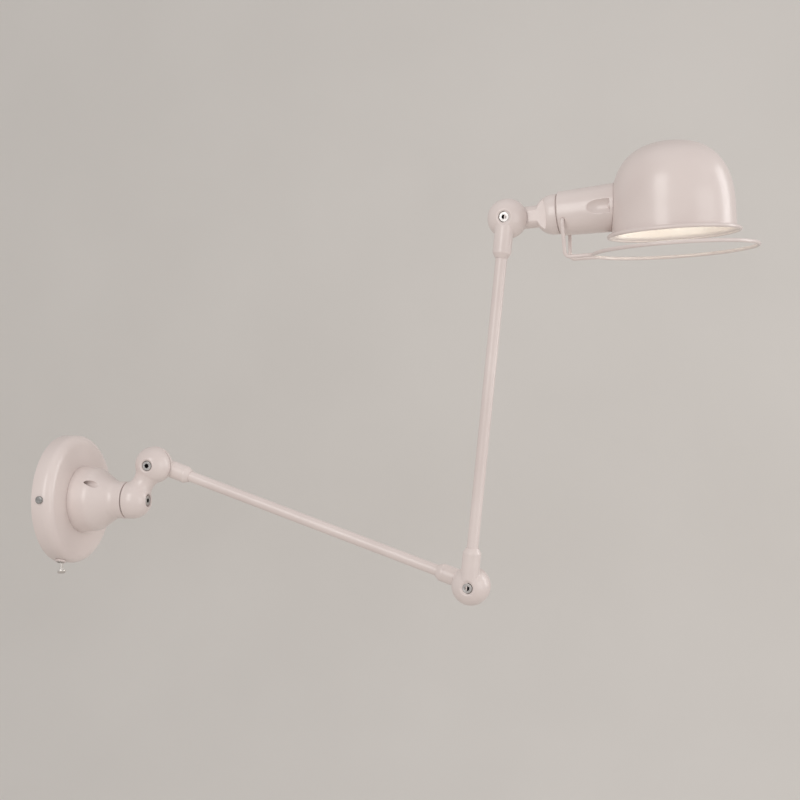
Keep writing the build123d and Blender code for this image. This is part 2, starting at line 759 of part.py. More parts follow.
# Bulb: metal cap with its tip on the contact, and a hollow globe seated in the cap.
cap_radius = sleeve_inner - seat_clearance
cap_end = holder_mouth
cap_start = cap_end - bulb_cap_length
with BuildPart() as bulb_cap:
    with BuildSketch(Plane.YZ.offset(cap_start)):
        Circle(cap_radius)
    extrude(amount=bulb_cap_length)
    fillet(bulb_cap.edges().group_by(Axis.X)[0], cap_radius / 3)
    with BuildSketch(Plane.YZ.offset(cap_end)):
        Circle(cap_radius - bulb_cap_wall)
    extrude(amount=-bulb_neck_length, mode=Mode.SUBTRACT)
    with BuildSketch(Plane.YZ.offset(contact_start + contact_thickness)):
        Circle(bulb_tip_radius)
    extrude(amount=cap_start + bulb_tip_radius / 2 - contact_start - contact_thickness)
place("bulb_cap", bulb_cap.part, head_frame)

neck_outer = cap_radius - bulb_cap_wall - seat_clearance
globe_centre = holder_mouth + bulb_centre_reach
blend = radians(bulb_blend_angle)


def bulb_outline(inset):
    """Solid of the bulb's outline, drawn in by a wall thickness."""
    globe = bulb_radius - inset
    joint = (globe_centre - globe * cos(blend), globe * sin(blend))
    start = cap_end - bulb_neck_length
    neck_end = cap_end + bulb_neck_length / 4
    with BuildPart() as outline:
        with BuildSketch(Plane.XY):
            with BuildLine():
                neck = Line((start, neck_outer - inset), (neck_end, neck_outer - inset))
                flare = TangentArc(neck @ 1, joint, tangent=neck % 1)
                ThreePointArc(flare @ 1, (globe_centre, globe), (globe_centre + globe, 0))
                Polyline((globe_centre + globe, 0), (start, 0), neck @ 0)
            make_face()
        revolve(axis=Axis.X)
    return outline.part


with BuildPart() as bulb_glass:
    add(bulb_outline(0))
    add(bulb_outline(bulb_wall), mode=Mode.SUBTRACT)
place("bulb_glass", bulb_glass.part, head_frame)

# Shade: spun dome on a short cylinder, flared to a rolled lip. It nods a little forward on the housing.
inner_radius = shade_radius - shade_wall
rim_level = -shade_axis_height
top_level = rim_level + shade_height
wall_level = top_level - shade_dome_height
lip_blend = shade_lip_width - shade_bead_radius
lip_bead = shade_radius + lip_blend
flare_level = rim_level + shade_bead_radius + shade_wall / 2
blend_level = flare_level + lip_blend
nod = radians(shade_nod_angle)
shade_plane = Plane(origin=(shade_reach, 0, 0), x_dir=(cos(nod), 0, -sin(nod)), z_dir=(0, -1, 0))
shade_axis = Axis((shade_reach, 0, 0), (sin(nod), 0, cos(nod)))


def dome_curve(growth):
    """Half outline of the dome, from its top to its straight wall, grown outwards by an allowance."""
    reach = shade_radius + growth
    ease = shade_ease_ratio * growth
    return Bezier(
        (0, top_level + growth),
        (shade_crown_ratio * shade_radius + ease, top_level + growth),
        (reach, wall_level + shade_side_ratio * shade_dome_height + ease),
        (reach, wall_level),
    )


def shade_form(growth):
    """Solid of the shade's dome and cylinder, grown outwards by an allowance."""
    with BuildPart() as form:
        with BuildSketch(shade_plane):
            with BuildLine():
                curve = dome_curve(growth)
                Polyline(curve @ 0, (0, rim_level), (shade_radius + growth, rim_level), curve @ 1)
            make_face()
        revolve(axis=shade_axis)
    return form.part


with BuildPart() as shade:
    with BuildSketch(shade_plane):
        with BuildLine():
            outer = dome_curve(0)
            inner = dome_curve(-shade_wall)
            Line(outer @ 0, inner @ 0)
            Line(outer @ 1, (shade_radius, blend_level))
            RadiusArc((shade_radius, blend_level), (lip_bead, flare_level), -lip_blend)
            Line((lip_bead, flare_level), (lip_bead, flare_level - shade_wall))
            RadiusArc(
                (lip_bead, flare_level - shade_wall),
                (inner_radius, blend_level),
                lip_blend + shade_wall,
            )
            Line((inner_radius, blend_level), inner @ 1)
        make_face()
        with Locations((lip_bead, rim_level + shade_bead_radius)):
            Circle(shade_bead_radius)
    revolve(axis=shade_axis)
    with BuildSketch(Plane.YZ):
        Circle(shade_hole_radius)
        with Locations((-shade_screw_circle, 0), (shade_screw_circle, 0)):
            Circle(shade_screw_radius + seat_clearance)
    extrude(amount=shade_reach, mode=Mode.SUBTRACT)
place("shade", shade.part, head_frame)

# Lamp housing: tapered cast tube, saddled to the shade, with a screw well and a guard hole on each side.
saddle = shade_form(seat_clearance)
well_end = shade_reach - sqrt(shade_radius**2 - shade_screw_circle**2) - housing_well_floor
well_lean = radians(housing_well_lean_angle)
guard_hook_x = head_split_reach + guard_hook_reach
with BuildPart() as lamp_housing:
    with BuildSketch(Plane.XY):
        Polygon(
            (housing_face, 0),
            (housing_face, housing_start_radius),
            (shade_reach - inner_radius, housing_end_radius),
            (shade_reach, housing_end_radius),
            (shade_reach, 0),
            align=None,
        )
    revolve(axis=Axis.X)
    fillet(lamp_housing.edges().group_by(Axis.X)[0], housing_edge)
    with BuildSketch(Plane.YZ.offset(housing_face)):
        Circle(nipple_radius + running_clearance)
    extrude(amount=housing_end_wall, mode=Mode.SUBTRACT)
    with BuildSketch(Plane.YZ.offset(housing_face + housing_end_wall)):
        Circle(housing_bore_radius)
    extrude(amount=shade_reach, mode=Mode.SUBTRACT)
    add(saddle, mode=Mode.SUBTRACT)
    for side in (-1, 1):
        with BuildSketch(Plane.YZ.offset(well_end)):
            with Locations((side * housing_well_circle, 0)):
                Circle(housing_well_radius)
        well_way = (-cos(well_lean), side * sin(well_lean), 0)
        extrude(amount=housing_well_reach, dir=well_way, mode=Mode.SUBTRACT)
        with BuildSketch(Plane.YZ.offset(well_end)):
            with Locations((side * shade_screw_circle, 0)):
                Circle(shade_screw_radius + seat_clearance)
        extrude(amount=shade_reach, mode=Mode.SUBTRACT)
    with BuildSketch(Plane.XZ):
        with Locations((guard_hook_x, -guard_hook_drop)):
            Circle(guard_wire_radius + running_clearance)
    extrude(amount=housing_end_radius, both=True, mode=Mode.SUBTRACT)
place("lamp_housing", lamp_housing.part, head_frame)

# Ring inside the shade that the two housing screws pull against.
with BuildPart() as shade_ring:
    with BuildSketch(Plane.YZ.offset(shade_reach - inner_radius + shade_ring_depth)):
        Circle(housing_end_radius)
        Circle(shade_hole_radius, mode=Mode.SUBTRACT)
        with Locations((-shade_screw_circle, 0), (shade_screw_circle, 0)):
            Circle(shade_screw_radius + seat_clearance, mode=Mode.SUBTRACT)
    extrude(amount=-housing_end_radius)
    add(shade_form(-shade_wall - seat_clearance), mode=Mode.INTERSECT)
place("shade_ring", shade_ring.part, head_frame)

shade_screw = pan_screw(shade_screw_radius, shade_screw_length, shade_screw_radius / 2)
screw_seats = [Location((well_end, side * shade_screw_circle, 0), (0, -90, 0)) for side in (-1, 1)]
place("shade_screws", Compound(children=[shade_screw.moved(seat) for seat in screw_seats]), head_frame)

# Wire guard: hooks, legs and runs on each side of one ring. It hangs from its hooks along the shade's lip.
guard_hook_y = sqrt(housing_start_radius**2 - guard_hook_drop**2) - guard_hook_depth
turn_y = guard_run_spread + guard_ring_bend
turn_x = shade_reach - sqrt((guard_ring_radius + guard_ring_bend) ** 2 - turn_y**2)
turn_angle = asin(turn_y / (guard_ring_radius + guard_ring_bend))
touch_x = turn_x + guard_ring_bend * cos(turn_angle)
touch_y = turn_y - guard_ring_bend * sin(turn_angle)
turn_mid_x = turn_x + guard_ring_bend * sin((radians(90) - turn_angle) / 2)
turn_mid_y = turn_y - guard_ring_bend * cos((radians(90) - turn_angle) / 2)


def guard_side(side):
    """Hook, leg and run of one side, from the hook's end to the bend where the run turns into the ring."""
    return FilletPolyline(
        (guard_hook_x, side * guard_hook_y, -guard_hook_drop),
        (guard_hook_x, side * guard_leg_spread, -guard_hook_drop),
        (guard_hook_x, side * guard_run_spread, -guard_drop),
        (turn_x, side * guard_run_spread, -guard_drop),
        radius=[guard_hook_bend, guard_foot_bend],
    )


with BuildPart() as wire_guard:
    with BuildLine() as guard_path:
        near = guard_side(-1)
        for side in (-1, 1):
            ThreePointArc(
                (turn_x, side * guard_run_spread, -guard_drop),
                (turn_mid_x, side * turn_mid_y, -guard_drop),
                (touch_x, side * touch_y, -guard_drop),
            )
        ThreePointArc(
            (touch_x, -touch_y, -guard_drop),
            (shade_reach + guard_ring_radius, 0, -guard_drop),
            (touch_x, touch_y, -guard_drop),
        )
        guard_side(1)
    with BuildSketch(Plane(origin=near @ 0, z_dir=near % 0)):
        Circle(guard_wire_radius)
    sweep(path=guard_path.wire())
hook_frame = Location((guard_hook_x, 0, -guard_hook_drop))
hang = hook_frame * Location((0, 0, 0), (0, shade_nod_angle, 0)) * hook_frame.inverse()
place("wire_guard", wire_guard.part, head_frame * hang)
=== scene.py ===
import json
from math import acos, atan2, cos, degrees, pi, radians, sin, sqrt, tau

import bpy
from mathutils import Matrix, Vector


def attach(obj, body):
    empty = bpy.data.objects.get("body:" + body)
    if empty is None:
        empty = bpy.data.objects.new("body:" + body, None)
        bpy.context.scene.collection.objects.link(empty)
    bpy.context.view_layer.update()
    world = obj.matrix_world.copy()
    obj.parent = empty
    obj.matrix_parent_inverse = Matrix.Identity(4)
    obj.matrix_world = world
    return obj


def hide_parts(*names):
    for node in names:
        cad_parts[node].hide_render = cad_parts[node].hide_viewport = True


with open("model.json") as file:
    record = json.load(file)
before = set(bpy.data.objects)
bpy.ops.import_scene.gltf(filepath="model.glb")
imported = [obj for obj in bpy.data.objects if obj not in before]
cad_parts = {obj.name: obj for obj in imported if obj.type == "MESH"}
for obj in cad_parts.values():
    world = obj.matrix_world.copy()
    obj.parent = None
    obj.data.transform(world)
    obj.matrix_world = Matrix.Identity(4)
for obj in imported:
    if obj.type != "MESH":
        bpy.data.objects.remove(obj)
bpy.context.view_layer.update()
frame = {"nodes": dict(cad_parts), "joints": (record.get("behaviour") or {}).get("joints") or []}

# The wall bracket is a strap of zinc-plated steel, bent up at both ends and slotted for two wall screws.
# Its terminal block is moulded nylon, fixed on the strap. The light's screws, nuts and spring washers are
# plated like the strap.
mm = 0.001


def node_material(name):
    """An empty node material, with its shader and the piece's own coordinates ready to wire."""
    material = bpy.data.materials.new(name)
    material.use_nodes = True
    tree = material.node_tree
    shader, place = tree.nodes["Principled BSDF"], tree.nodes.new("ShaderNodeTexCoord")
    return material, tree.nodes, tree.links, shader, place


def cloud(nodes, links, place, scale, detail):
    """A soft random pattern on the piece itself."""
    noise = nodes.new("ShaderNodeTexNoise")
    noise.inputs["Scale"].default_value = scale
    noise.inputs["Detail"].default_value = detail
    links.new(place.outputs["Object"], noise.inputs["Vector"])
    return noise.outputs["Fac"]


def tone_between(nodes, links, pattern, dark, light, low=0.35, high=0.65):
    """Two near tones, mixed by a pattern."""
    ramp = nodes.new("ShaderNodeValToRGB")
    ramp.color_ramp.elements[0].position = low
    ramp.color_ramp.elements[0].color = (*dark, 1)
    ramp.color_ramp.elements[1].position = high
    ramp.color_ramp.elements[1].color = (*light, 1)
    links.new(pattern, ramp.inputs["Fac"])
    return ramp.outputs["Color"]


def value_between(nodes, links, pattern, least, most, low=0.3, high=0.7):
    """A plain value, such as a roughness, that follows a pattern between two limits."""
    spread = nodes.new("ShaderNodeMapRange")
    spread.inputs["From Min"].default_value = low
    spread.inputs["From Max"].default_value = high
    spread.inputs["To Min"].default_value = least
    spread.inputs["To Max"].default_value = most
    links.new(pattern, spread.inputs["Value"])
    return spread.outputs["Result"]


def relief(nodes, links, pattern, height, strength):
    """A fine relief of a given height in millimetres."""
    bump = nodes.new("ShaderNodeBump")
    bump.inputs["Distance"].default_value = height * mm
    bump.inputs["Strength"].default_value = strength
    links.new(pattern, bump.inputs["Height"])
    return bump.outputs["Normal"]


def plated_steel(name, dark, light, smooth, rough):
    """Zinc or nickel plate: metal with a faint crystal mottle and rolling marks."""
    material, nodes, links, shader, place = node_material(name)
    crystals = cloud(nodes, links, place, 260.0, 3.0)
    haze = cloud(nodes, links, place, 520.0, 2.0)
    rolling_marks = cloud(nodes, links, place, 1800.0, 2.0)
    mark_height, mark_strength = 0.02, 0.25
    shader.inputs["Metallic"].default_value = 1.0
    links.new(tone_between(nodes, links, crystals, dark, light), shader.inputs["Base Color"])
    links.new(value_between(nodes, links, haze, smooth, rough), shader.inputs["Roughness"])
    links.new(relief(nodes, links, rolling_marks, mark_height, mark_strength), shader.inputs["Normal"])
    return material


def moulded(name, dark, light, smooth, rough, grain_height):
    """Moulded or fired material with a fine even grain."""
    material, nodes, links, shader, place = node_material(name)
    flow = cloud(nodes, links, place, 140.0, 3.0)
    haze = cloud(nodes, links, place, 420.0, 2.0)
    grain = cloud(nodes, links, place, 2200.0, 2.0)
    grain_strength = 0.4
    links.new(tone_between(nodes, links, flow, dark, light), shader.inputs["Base Color"])
    links.new(value_between(nodes, links, haze, smooth, rough), shader.inputs["Roughness"])
    links.new(relief(nodes, links, grain, grain_height, grain_strength), shader.inputs["Normal"])
    return material


def dress(material, *node_names):
    """Give CAD nodes that are already right in shape their finish."""
    for node_name in node_names:
        slots = frame["nodes"][node_name].data.materials
        slots.clear()
        slots.append(material)


zinc = plated_steel("zinc_plate", (0.30, 0.295, 0.29), (0.44, 0.435, 0.43), 0.36, 0.5)
terminal_nylon = moulded("terminal_nylon", (0.62, 0.61, 0.57), (0.72, 0.71, 0.66), 0.38, 0.5, 0.02)
dress(zinc, "wall_bracket", "canopy_screws", "cone_screws", "cone_nuts")
dress(terminal_nylon, "terminal_block")

# The canopy is a cup spun from sheet steel, open to the wall, with a broad round at its front edge.
# It is enamelled white all over, and drilled for its two side screws, the bell's screws and the switch.


def enamel(name, peel_scale, peel_height, smooth, rough):
    """White stoved enamel: a slow drift of tone, a faint orange peel and a satin gloss."""
    material, nodes, links, shader, place = node_material(name)
    drift = cloud(nodes, links, place, 14.0, 2.0)
    haze = cloud(nodes, links, place, 60.0, 3.0)
    peel = cloud(nodes, links, place, peel_scale, 2.0)
    peel_strength = 0.1
    dark, light = (0.700, 0.606, 0.580), (0.760, 0.668, 0.640)
    links.new(tone_between(nodes, links, drift, dark, light), shader.inputs["Base Color"])
    links.new(value_between(nodes, links, haze, smooth, rough), shader.inputs["Roughness"])
    links.new(relief(nodes, links, peel, peel_height, peel_strength), shader.inputs["Normal"])
    shader.inputs["Coat Weight"].default_value = 0.35
    shader.inputs["Coat Roughness"].default_value = 0.16
    return material


def rounded(corners, steps=10):
    """Points along straight runs whose corners, given as (reach, radius, round), are rounded off."""
    points = [Vector(corners[0][:2])]
    for before, corner, after in zip(corners, corners[1:], corners[2:]):
        here, bend = Vector(corner[:2]), corner[2]
        into = (here - Vector(before[:2])).normalized()
        out = (Vector(after[:2]) - here).normalized()
        turn = acos(max(-1.0, min(1.0, into.dot(out))))
        if bend == 0 or turn < 0.001:
            points.append(here)
            continue
        start = here - into * bend * sin(turn / 2) / cos(turn / 2)
        inward = (out - into * into.dot(out)).normalized()
        centre = start + inward * bend
        points += [centre + (into * sin(turn * k / steps) - inward * cos(turn * k / steps)) * bend
                   for k in range(steps + 1)]
    points.append(Vector(corners[-1][:2]))
    return points


def turned(outline, steps=144):
    """Draw an outline of (reach, radius) points in millimetres and spin it round X, as on a lathe."""
    bpy.ops.object.select_all(action="DESELECT")
    bpy.ops.mesh.primitive_plane_add(size=mm)
    piece = bpy.context.active_object
    bpy.ops.object.mode_set(mode="EDIT")
    bpy.ops.mesh.merge(type="CENTER")
    bpy.ops.transform.translate(value=(outline[0][0] * mm, 0, outline[0][1] * mm))
    for here, there in zip(outline, outline[1:]):
        step = ((there[0] - here[0]) * mm, 0, (there[1] - here[1]) * mm)
        bpy.ops.mesh.extrude_vertices_move(TRANSFORM_OT_translate={"value": step})
    bpy.ops.mesh.select_all(action="SELECT")
    bpy.ops.mesh.spin(steps=steps, angle=tau, center=(0, 0, 0), axis=(1, 0, 0))
    bpy.ops.mesh.select_all(action="SELECT")
    bpy.ops.mesh.remove_doubles(threshold=0.005 * mm)
    bpy.ops.mesh.normals_make_consistent(inside=False)
    bpy.ops.object.mode_set(mode="OBJECT")
    return piece


def take_hold(piece):
    """Select one piece alone and make it the active one."""
    bpy.ops.object.select_all(action="DESELECT")
    piece.select_set(True)
    bpy.context.view_layer.objects.active = piece


def bar(start, end, radius, sides=64, end_radius=None):
    """A round bar or taper between two points, in millimetres."""
    start, end = Vector(start) * mm, Vector(end) * mm
    bpy.ops.object.select_all(action="DESELECT")
    bpy.ops.mesh.primitive_cone_add(
        vertices=sides,
        radius1=radius * mm,
        radius2=(radius if end_radius is None else end_radius) * mm,
        depth=(end - start).length,
        location=(start + end) / 2,
        rotation=(end - start).to_track_quat("Z", "Y").to_euler(),
    )
    bpy.ops.object.transform_apply(location=True, rotation=True, scale=True)
    return bpy.context.active_object


def join(piece, tool, operation):
    """Add a shape to a piece, or cut it out, and throw the tool away."""
    joint = piece.modifiers.new("joint", "BOOLEAN")
    joint.operation = operation
    joint.solver = "EXACT"
    joint.object = tool
    take_hold(piece)
    bpy.ops.object.modifier_apply(modifier=joint.name)
    bpy.data.objects.remove(tool)
    return piece


def settle(piece, name, material, body, node):
    """Name a finished piece, finish it and let it stand for its CAD node."""
    piece.name = name
    piece.data.name = name
    piece.data.materials.clear()
    piece.data.materials.append(material)
    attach(piece, body)
    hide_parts(node)


def smooth_edges(piece, angle=40):
    """Shade a piece smooth, apart from edges sharper than an angle in degrees."""
    take_hold(piece)
    bpy.ops.object.shade_smooth_by_angle(angle=radians(angle))


sheet_enamel = enamel("enamel_on_sheet", 300.0, 0.03, 0.30, 0.38)
canopy_radius, canopy_depth, canopy_wall, canopy_round = 60.0, 19.0, 1.2, 9.0
flex_opening, opening_ease, rim_ease = 13.0, 0.5, 0.4
inner_radius, inner_depth, inner_round = canopy_radius - canopy_wall, canopy_depth - canopy_wall, 7.8
canopy_face = [
    (rim_ease, canopy_radius, 0),
    (canopy_depth, canopy_radius, canopy_round),
    (canopy_depth, flex_opening, opening_ease),
    (inner_depth, flex_opening, 0.4),
    (inner_depth, inner_radius, inner_round),
    (rim_ease, inner_radius, 0),
]
canopy_rim = [(0.1, 58.9), (0, 59.15), (0, 59.65), (0.1, 59.9), (rim_ease, canopy_radius)]
canopy = turned(rounded(canopy_face, 14) + canopy_rim)
side_screw_level, side_screw_turn, side_screw_hole = 8.8, radians(4.5), 2.05
switch_level, switch_turn, switch_bore = 8.0, radians(23.5), 3.55
bell_screw_circle, bell_screw_hole = 26.4, 1.55
side_screw_way = Vector((0, -cos(side_screw_turn), sin(side_screw_turn)))
switch_way = Vector((0, -sin(switch_turn), -cos(switch_turn)))
bell_screws = [(bell_screw_circle * cos(radians(a)), bell_screw_circle * sin(radians(a))) for a in (142, 322)]
inside, outside = canopy_radius - 6, canopy_radius + 6
for level, way, hole, sides in (
    (side_screw_level, side_screw_way, side_screw_hole, 32),
    (side_screw_level, -side_screw_way, side_screw_hole, 32),
    (switch_level, switch_way, switch_bore, 40),
):
    middle = Vector((level, 0, 0))
    join(canopy, bar(middle + way * inside, middle + way * outside, hole, sides), "DIFFERENCE")
for y, z in bell_screws:
    join(canopy, bar((canopy_depth - 3, y, z), (canopy_depth + 2, y, z), bell_screw_hole, 32), "DIFFERENCE")
smooth_edges(canopy)
settle(canopy, "canopy_cup", sheet_enamel, "base", "wall_canopy")

# The toggle switch sits in the canopy's rim: a dark moulded body with a pale bushing, a nickel nut behind
# the rim, an enamelled round nut outside it, and a thin nickel lever with a flat end.
nickel = plated_steel("nickel_plate", (0.62, 0.59, 0.56), (0.76, 0.73, 0.70), 0.3, 0.42)
switch_nylon, nodes, links, shader, place = node_material("switch_nylon")
body_tone, bushing_tone = (0.045, 0.038, 0.038), (0.56, 0.52, 0.50)
body_end, bushing_start = 57.4, 57.6
axes = nodes.new("ShaderNodeSeparateXYZ")
across = nodes.new("ShaderNodeCombineXYZ")
from_axis = nodes.new("ShaderNodeVectorMath")
from_axis.operation = "LENGTH"
links.new(place.outputs["Object"], axes.inputs["Vector"])
links.new(axes.outputs["Y"], across.inputs["Y"])
links.new(axes.outputs["Z"], across.inputs["Z"])
links.new(across.outputs["Vector"], from_axis.inputs["Vector"])
past_body = value_between(
    nodes, links, from_axis.outputs["Value"], 0.0, 1.0, body_end * mm, bushing_start * mm
)
haze = cloud(nodes, links, place, 420.0, 2.0)
links.new(tone_between(nodes, links, past_body, body_tone, bushing_tone), shader.inputs["Base Color"])
links.new(value_between(nodes, links, haze, 0.4, 0.55), shader.inputs["Roughness"])
dress(nickel, "switch_nut", "switch_lever")
dress(sheet_enamel, "switch_dress_nut")
dress(switch_nylon, "switch_body")

# The bell is an aluminium casting, enamelled like the canopy and held on it by two screws deep in wells.
# The wells break out through the bell's flank as long open channels.


def cast(piece, voxel, rounds):
    """Melt joined shapes into one casting, its edges and inner corners softened by the sand and the paint."""
    take_hold(piece)
    piece.data.remesh_voxel_size = voxel * mm
    bpy.ops.object.voxel_remesh()
    soften = piece.modifiers.new("soften", "SMOOTH")
    soften.factor = 0.5
    soften.iterations = rounds
    bpy.ops.object.modifier_apply(modifier=soften.name)
    bpy.ops.object.shade_smooth()
    return piece


cast_enamel = enamel("enamel_on_casting", 380.0, 0.05, 0.30, 0.40)
ball_radius = 17.25
bolt_hole = 2.55
bell_foot_radius, bell_end, bell_end_wall, bell_bore = 31.0, 65.2, 6.0, 14.25
bell_shoulder, bell_shoulder_radius, bell_shoulder_round = 37.0, 29.2, 16.0
bell_throat, bell_throat_round = 54.0, 12.0
bell = turned(
    rounded(
        [
            (canopy_depth, bell_foot_radius, 0),
            (bell_shoulder, bell_shoulder_radius, bell_shoulder_round),
            (bell_throat, ball_radius, bell_throat_round),
            (bell_end, ball_radius, 0),
            (bell_end, bolt_hole, 0),
            (bell_end - bell_end_wall, bolt_hole, 0),
            (bell_end - bell_end_wall, bell_bore, 0),
            (canopy_depth, bell_bore, 0),
            (canopy_depth, bell_foot_radius, 0),
        ],
        14,
    )
)
bell_well_radius, bell_well_floor, bell_well_mouth = 3.2, 22.5, 70.0
for y, z in bell_screws:
    join(bell, bar((bell_well_floor, y, z), (bell_well_mouth, y, z), bell_well_radius, 48), "DIFFERENCE")
    join(bell, bar((canopy_depth - 1, y, z), (canopy_depth + 5, y, z), bell_screw_hole, 32), "DIFFERENCE")
cast(bell, 0.5, 4)
settle(bell, "bell_casting", cast_enamel, "base", "bell_cone")

# The flex is a round cable in an extruded sheath, which feeds the lampholder from the terminals.
# It runs loose through the bell and the arms, hidden but for its ends.
flex_sheath = moulded("flex_sheath", (0.50, 0.49, 0.47), (0.58, 0.57, 0.55), 0.4, 0.5, 0.02)
dress(flex_sheath, "base_flex", "lower_flex", "upper_flex")

# Every swivel is clamped by a steel socket head bolt, a plated spring washer and a plated nut.
# A moulded friction ring fills each swivel's gap and shows as a thin line. The head's ring is the palest.
bolt_steel, nodes, links, shader, place = node_material("bolt_steel")
crystals = cloud(nodes, links, place, 260.0, 3.0)
haze = cloud(nodes, links, place, 520.0, 2.0)
steel = tone_between(nodes, links, crystals, (0.46, 0.44, 0.43), (0.60, 0.58, 0.57))
# Painted shade: the bolt steel's colour darkens to near black where ambient occlusion is deep, in the sockets
# and recesses.
socket_occlusion = nodes.new("ShaderNodeAmbientOcclusion")
socket_occlusion.only_local = True
socket_occlusion.inputs["Distance"].default_value = 5 * mm
painted_socket_shade = nodes.new("ShaderNodeMix")
painted_socket_shade.data_type = "RGBA"
painted_socket_shade.inputs["A"].default_value = (0.012, 0.010, 0.010, 1)
shader.inputs["Metallic"].default_value = 1.0
links.new(value_between(nodes, links, socket_occlusion.outputs["AO"], 0.0, 1.0, 0.55, 0.9), painted_socket_shade.inputs["Factor"])
links.new(steel, painted_socket_shade.inputs["B"])
links.new(painted_socket_shade.outputs["Result"], shader.inputs["Base Color"])
links.new(value_between(nodes, links, haze, 0.34, 0.46), shader.inputs["Roughness"])
dress(bolt_steel, "base_bolt", "shoulder_bolt", "elbow_bolt", "wrist_bolt")
dress(zinc, "base_spring_washer", "base_nut", "shoulder_spring_washer", "shoulder_nut", "elbow_spring_washer",
      "elbow_nut", "wrist_spring_washer", "wrist_nut")
friction_ring = moulded("friction_ring", (0.36, 0.315, 0.30), (0.42, 0.37, 0.355), 0.5, 0.65, 0.03)
pale_ring = moulded("pale_ring", (0.74, 0.67, 0.645), (0.80, 0.73, 0.705), 0.5, 0.65, 0.03)
dress(friction_ring, "base_washer", "shoulder_washer", "elbow_washer", "wrist_washer")
dress(pale_ring, "head_washer")

# The base knuckle is one aluminium casting: a swivel dome on the bell, a waisted neck and the front half
# of the shoulder ball. It is enamelled, and its bolts' heads sit in dished recesses at the two poles.
pivot = {joint["name"]: Vector(joint["pos_m"]) / mm for joint in frame["joints"]}
half_gap = 0.6
dish_level, dish_radius = 14.9, 6.3


def put(piece, matrix):
    """Move a piece to its place and leave that place in its mesh."""
    piece.matrix_world = matrix
    take_hold(piece)
    bpy.ops.object.transform_apply(location=True, rotation=True, scale=True)
    return piece


def keep_past(piece, point, way):
    """Cut a piece off square, and keep only what lies past a plane in a given direction."""
    take_hold(piece)
    bpy.ops.object.mode_set(mode="EDIT")
    bpy.ops.mesh.select_all(action="SELECT")
    bpy.ops.mesh.bisect(plane_co=Vector(point) * mm, plane_no=way, use_fill=True, clear_inner=True)
    bpy.ops.object.mode_set(mode="OBJECT")
    return piece


def ball(centre, keep_way, keep_from):
    """A ball of the joints' size, cut off square."""
    centre, keep_way = Vector(centre), Vector(keep_way)
    bpy.ops.object.select_all(action="DESELECT")
    bpy.ops.mesh.primitive_uv_sphere_add(
        segments=72,
        ring_count=48,
        radius=ball_radius * mm,
        location=centre * mm,
        rotation=keep_way.to_track_quat("Z", "Y").to_euler(),
    )
    bpy.ops.object.transform_apply(location=True, rotation=True, scale=True)
    return keep_past(bpy.context.active_object, centre + keep_way * keep_from, keep_way)


def pole(centre, way, recess_radius=4.75, recess_floor=12.0):
    """What is cut from a ball at its pole: a dished recess for the bolt's head, and the bolt's hole."""
    centre, way = Vector(centre), Vector(way)
    dish_top = sqrt(ball_radius**2 - dish_radius**2)
    dish_rise = dish_top - dish_level
    dish_end = 3 * dish_radius - 2 * recess_radius
    recess = bar(centre + way * recess_floor, centre + way * 30, recess_radius, 56)
    dish_mouth = dish_top + 2 * dish_rise
    dish = bar(centre + way * dish_level, centre + way * dish_mouth, recess_radius, 56, dish_end)
    join(recess, dish, "UNION")
    return join(recess, bar(centre - way * 2, centre + way * 20, bolt_hole, 40), "UNION")


dome_centre, dome_face, dome_recess = Vector((70.9, 0, 0)), 66.4, 5.7
shoulder = pivot["shoulder"]
base_knuckle = bar((dome_face, 0, 0), (dome_centre.x + 0.5, 0, 0), ball_radius, 96)
join(base_knuckle, ball(dome_centre, (1, 0, 0), 0), "UNION")
neck_line = shoulder - dome_centre
neck_middle, neck_waist, neck_ball = neck_line.length / 2, 10.0, ball_radius - 0.1
neck_blend = (neck_waist**2 + neck_middle**2 - neck_ball**2) / (2 * (neck_ball - neck_waist))
neck_reach = neck_middle * neck_blend / (neck_ball + neck_blend)
neck_steps = [neck_middle + neck_reach * k / 16 for k in range(-16, 17)]
neck = turned(
    [(neck_steps[0], 0)]
    + [(x, neck_waist + neck_blend - sqrt(neck_blend**2 - (x - neck_middle) ** 2)) for x in neck_steps]
    + [(neck_steps[-1], 0), (neck_steps[0], 0)],
    96,
)
put(neck, Matrix.Translation(dome_centre * mm) @ neck_line.to_track_quat("X", "Z").to_matrix().to_4x4())
keep_past(neck, (0, shoulder.y - half_gap, 0), (0, -1, 0))
keep_past(neck, (dome_face, 0, 0), (1, 0, 0))
join(base_knuckle, neck, "UNION")
join(base_knuckle, ball(shoulder, (0, -1, 0), half_gap), "UNION")
join(base_knuckle, pole(shoulder, (0, -1, 0)), "DIFFERENCE")
join(base_knuckle, pole(dome_centre, (1, 0, 0), dome_recess), "DIFFERENCE")
cast(base_knuckle, 0.45, 5)
settle(base_knuckle, "base_knuckle_casting", cast_enamel, "base_knuckle", "base_knuckle")

# Each arm ends in two castings of one pattern: half a ball, and a stub beside it that the tube is fixed into.
# They are aluminium, enamelled, and the stubs' offset sets the two arms side by side.
arm_length = (pivot["elbow"] - pivot["shoulder"]).length
stub_offset, stub_reach, stub_radius = 9.0, 28.0, 8.0
tube_start, tube_seat = 14.0, 5.05


def arm_frame(start, end):
    """The place of an arm: its start, with X along it and Y across the wall."""
    along = end - start
    return Matrix.Translation(start * mm) @ Matrix.Rotation(atan2(-along.z, along.x), 4, "Y")


def duplicate(piece):
    """Another piece off the same pattern, with its own mesh."""
    twin = piece.copy()
    twin.data = piece.data.copy()
    bpy.context.scene.collection.objects.link(twin)
    return twin


